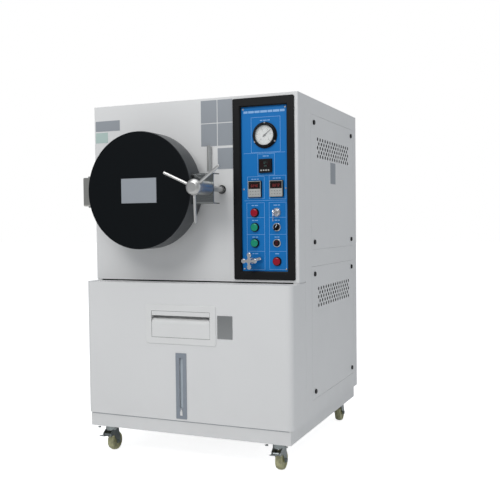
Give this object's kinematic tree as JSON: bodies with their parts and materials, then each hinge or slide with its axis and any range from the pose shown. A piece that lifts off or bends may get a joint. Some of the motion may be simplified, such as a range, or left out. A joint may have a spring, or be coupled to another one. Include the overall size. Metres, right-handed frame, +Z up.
{
  "type": "environmental test chamber",
  "caption": "Cabinet on casters with a round side-hinged pressure door, lever lock, instrument console, pull-off lower cover and a slide-in specimen rack.",
  "frame": {"origin": "on the floor, under the middle of the object's bounding box", "axes": "+X to the right of someone facing the door, +Y from front to back, +Z up"},
  "size_m": [0.86, 1.05, 1.35],
  "materials": {
    "cabinet_paint": "satin powder coat",
    "drum_black": "fine matte black",
    "stainless": "brushed",
    "polished_steel": "polished",
    "black_plastic": "fine texture",
    "console_blue": "satin print",
    "dial_white": "matte",
    "clear_glass": "clear",
    "needle_black": "matte",
    "chrome_trim": "polished",
    "red_lens": "gloss",
    "green_lens": "gloss",
    "white_plastic": "satin gloss",
    "tank_plastic": "translucent white",
    "box_grey": "satin",
    "silicone": "matte",
    "amber_tread": "satin polyurethane",
    "zinc": "zinc plated"
  },
  "bodies": {
    "cabinet": {"cabinet_shell": "cabinet_paint", "front_panel": "cabinet_paint", "base_plinth": "cabinet_paint", "back_panel": "cabinet_paint", "side_panels": "cabinet_paint", "panel_fasteners": "black_plastic", "pressure_vessel": "stainless", "door_gasket": "silicone", "heater_element": "stainless", "temperature_probe": "stainless", "water_tank": "tank_plastic", "level_tube": "clear_glass", "electrical_box": "box_grey", "hinge_bracket": "stainless", "hinge_pin": "polished_steel", "lock_collar": "black_plastic", "guide_tube": "stainless", "panel_frame": "black_plastic", "control_plate": "console_blue", "plate_screws": "chrome_trim", "gauge_case": "black_plastic", "gauge_dial": "dial_white", "gauge_glass": "clear_glass", "temp_controller": "black_plastic", "timers": "black_plastic", "switch_bezels": "chrome_trim", "buzzer": "black_plastic", "indicator_lamp": "red_lens", "key_switch": "chrome_trim", "valve_body": "chrome_trim", "drain_pipe": "stainless", "caster_plates": "zinc"},
    "door": {"door_cover": "drum_black", "door_lid": "stainless", "door_arm": "stainless"},
    "lock": {"lock_hub": "polished_steel", "lock_levers": "polished_steel", "lock_spindle": "polished_steel"},
    "needle": {"gauge_needle": "needle_black"},
    "button_red_body": {"button_red": "red_lens"},
    "button_green_upper_body": {"button_green_upper": "green_lens"},
    "button_green_lower_body": {"button_green_lower": "green_lens"},
    "selector": {"selector_knob": "black_plastic"},
    "key_body": {"key": "chrome_trim"},
    "valve": {"valve_handle": "chrome_trim"},
    "cover": {"lower_cover": "cabinet_paint", "pull_handle": "white_plastic", "level_plate": "stainless"},
    "rack": {"rack_frame": "stainless", "rack_trays": "stainless"},
    "caster_front_left": {"caster_fork_front_left": "zinc"},
    "wheel_front_left": {"caster_wheel_front_left": "amber_tread"},
    "pedal_front_left": {"brake_pedal_front_left": "zinc"},
    "caster_front_right": {"caster_fork_front_right": "zinc"},
    "wheel_front_right": {"caster_wheel_front_right": "amber_tread"},
    "pedal_front_right": {"brake_pedal_front_right": "zinc"},
    "caster_rear_left": {"caster_fork_rear_left": "zinc"},
    "wheel_rear_left": {"caster_wheel_rear_left": "amber_tread"},
    "caster_rear_right": {"caster_fork_rear_right": "zinc"},
    "wheel_rear_right": {"caster_wheel_rear_right": "amber_tread"}
  },
  "joints": [
    {"name": "door_swing", "type": "hinge", "parent": "cabinet", "child": "door", "pos_m": [-0.375, -0.38, 1.013], "axis": [0, 0, -1], "range_deg": [0, 100]},
    {"name": "lock_turn", "type": "hinge", "parent": "door", "child": "lock", "pos_m": [0.128, -0.506, 1.013], "axis": [0, 1, 0], "range_deg": [0, 90]},
    {"name": "needle_turn", "type": "hinge", "parent": "cabinet", "child": "needle", "pos_m": [0.297, -0.278, 1.2035], "axis": [0, 1, 0], "range_deg": [-185, 85]},
    {"name": "button_red_push", "type": "slide", "parent": "cabinet", "child": "button_red_body", "axis": [0, 1, 0], "range_m": [0, 0.004], "stiffness_N_per_m": 200},
    {"name": "button_green_upper_push", "type": "slide", "parent": "cabinet", "child": "button_green_upper_body", "axis": [0, 1, 0], "range_m": [0, 0.004], "stiffness_N_per_m": 200},
    {"name": "button_green_lower_push", "type": "slide", "parent": "cabinet", "child": "button_green_lower_body", "axis": [0, 1, 0], "range_m": [0, 0.004], "stiffness_N_per_m": 200},
    {"name": "selector_turn", "type": "hinge", "parent": "cabinet", "child": "selector", "pos_m": [0.3395, -0.28, 0.873], "axis": [0, 1, 0], "range_deg": [0, 90]},
    {"name": "key_turn", "type": "hinge", "parent": "cabinet", "child": "key_body", "pos_m": [0.3395, -0.29, 0.926], "axis": [0, 1, 0], "range_deg": [0, 90]},
    {"name": "valve_turn", "type": "hinge", "parent": "cabinet", "child": "valve", "pos_m": [0.2455, -0.3, 0.752], "axis": [0, 1, 0], "range_deg": [0, 360]},
    {"name": "cover_slide", "type": "slide", "parent": "cabinet", "child": "cover", "axis": [0, -1, 0], "range_m": [0, 0.15]},
    {"name": "rack_slide", "type": "slide", "parent": "cabinet", "child": "rack", "axis": [0, -1, 0], "range_m": [0, 0.21]},
    {"name": "caster_swivel_front_left", "type": "hinge", "parent": "cabinet", "child": "caster_front_left", "pos_m": [-0.352, -0.302, 0.088], "axis": [0, 0, 1], "continuous": true},
    {"name": "wheel_spin_front_left", "type": "hinge", "parent": "caster_front_left", "child": "wheel_front_left", "pos_m": [-0.352, -0.282, 0.036], "axis": [1, 0, 0], "continuous": true},
    {"name": "brake_press_front_left", "type": "hinge", "parent": "caster_front_left", "child": "pedal_front_left", "pos_m": [-0.352, -0.332, 0.07], "axis": [1, 0, 0], "range_deg": [0, 15]},
    {"name": "caster_swivel_front_right", "type": "hinge", "parent": "cabinet", "child": "caster_front_right", "pos_m": [0.352, -0.302, 0.088], "axis": [0, 0, 1], "continuous": true},
    {"name": "wheel_spin_front_right", "type": "hinge", "parent": "caster_front_right", "child": "wheel_front_right", "pos_m": [0.352, -0.282, 0.036], "axis": [1, 0, 0], "continuous": true},
    {"name": "brake_press_front_right", "type": "hinge", "parent": "caster_front_right", "child": "pedal_front_right", "pos_m": [0.352, -0.332, 0.07], "axis": [1, 0, 0], "range_deg": [0, 15]},
    {"name": "caster_swivel_rear_left", "type": "hinge", "parent": "cabinet", "child": "caster_rear_left", "pos_m": [-0.352, 0.44, 0.088], "axis": [0, 0, 1], "continuous": true},
    {"name": "wheel_spin_rear_left", "type": "hinge", "parent": "caster_rear_left", "child": "wheel_rear_left", "pos_m": [-0.352, 0.46, 0.036], "axis": [1, 0, 0], "continuous": true},
    {"name": "caster_swivel_rear_right", "type": "hinge", "parent": "cabinet", "child": "caster_rear_right", "pos_m": [0.352, 0.44, 0.088], "axis": [0, 0, 1], "continuous": true},
    {"name": "wheel_spin_rear_right", "type": "hinge", "parent": "caster_rear_right", "child": "wheel_rear_right", "pos_m": [0.352, 0.46, 0.036], "axis": [1, 0, 0], "continuous": true}
  ],
  "couplings": [
    {"joint": "rack_slide", "follows": "door_swing", "m_per_rad": 0.12}
  ]
}
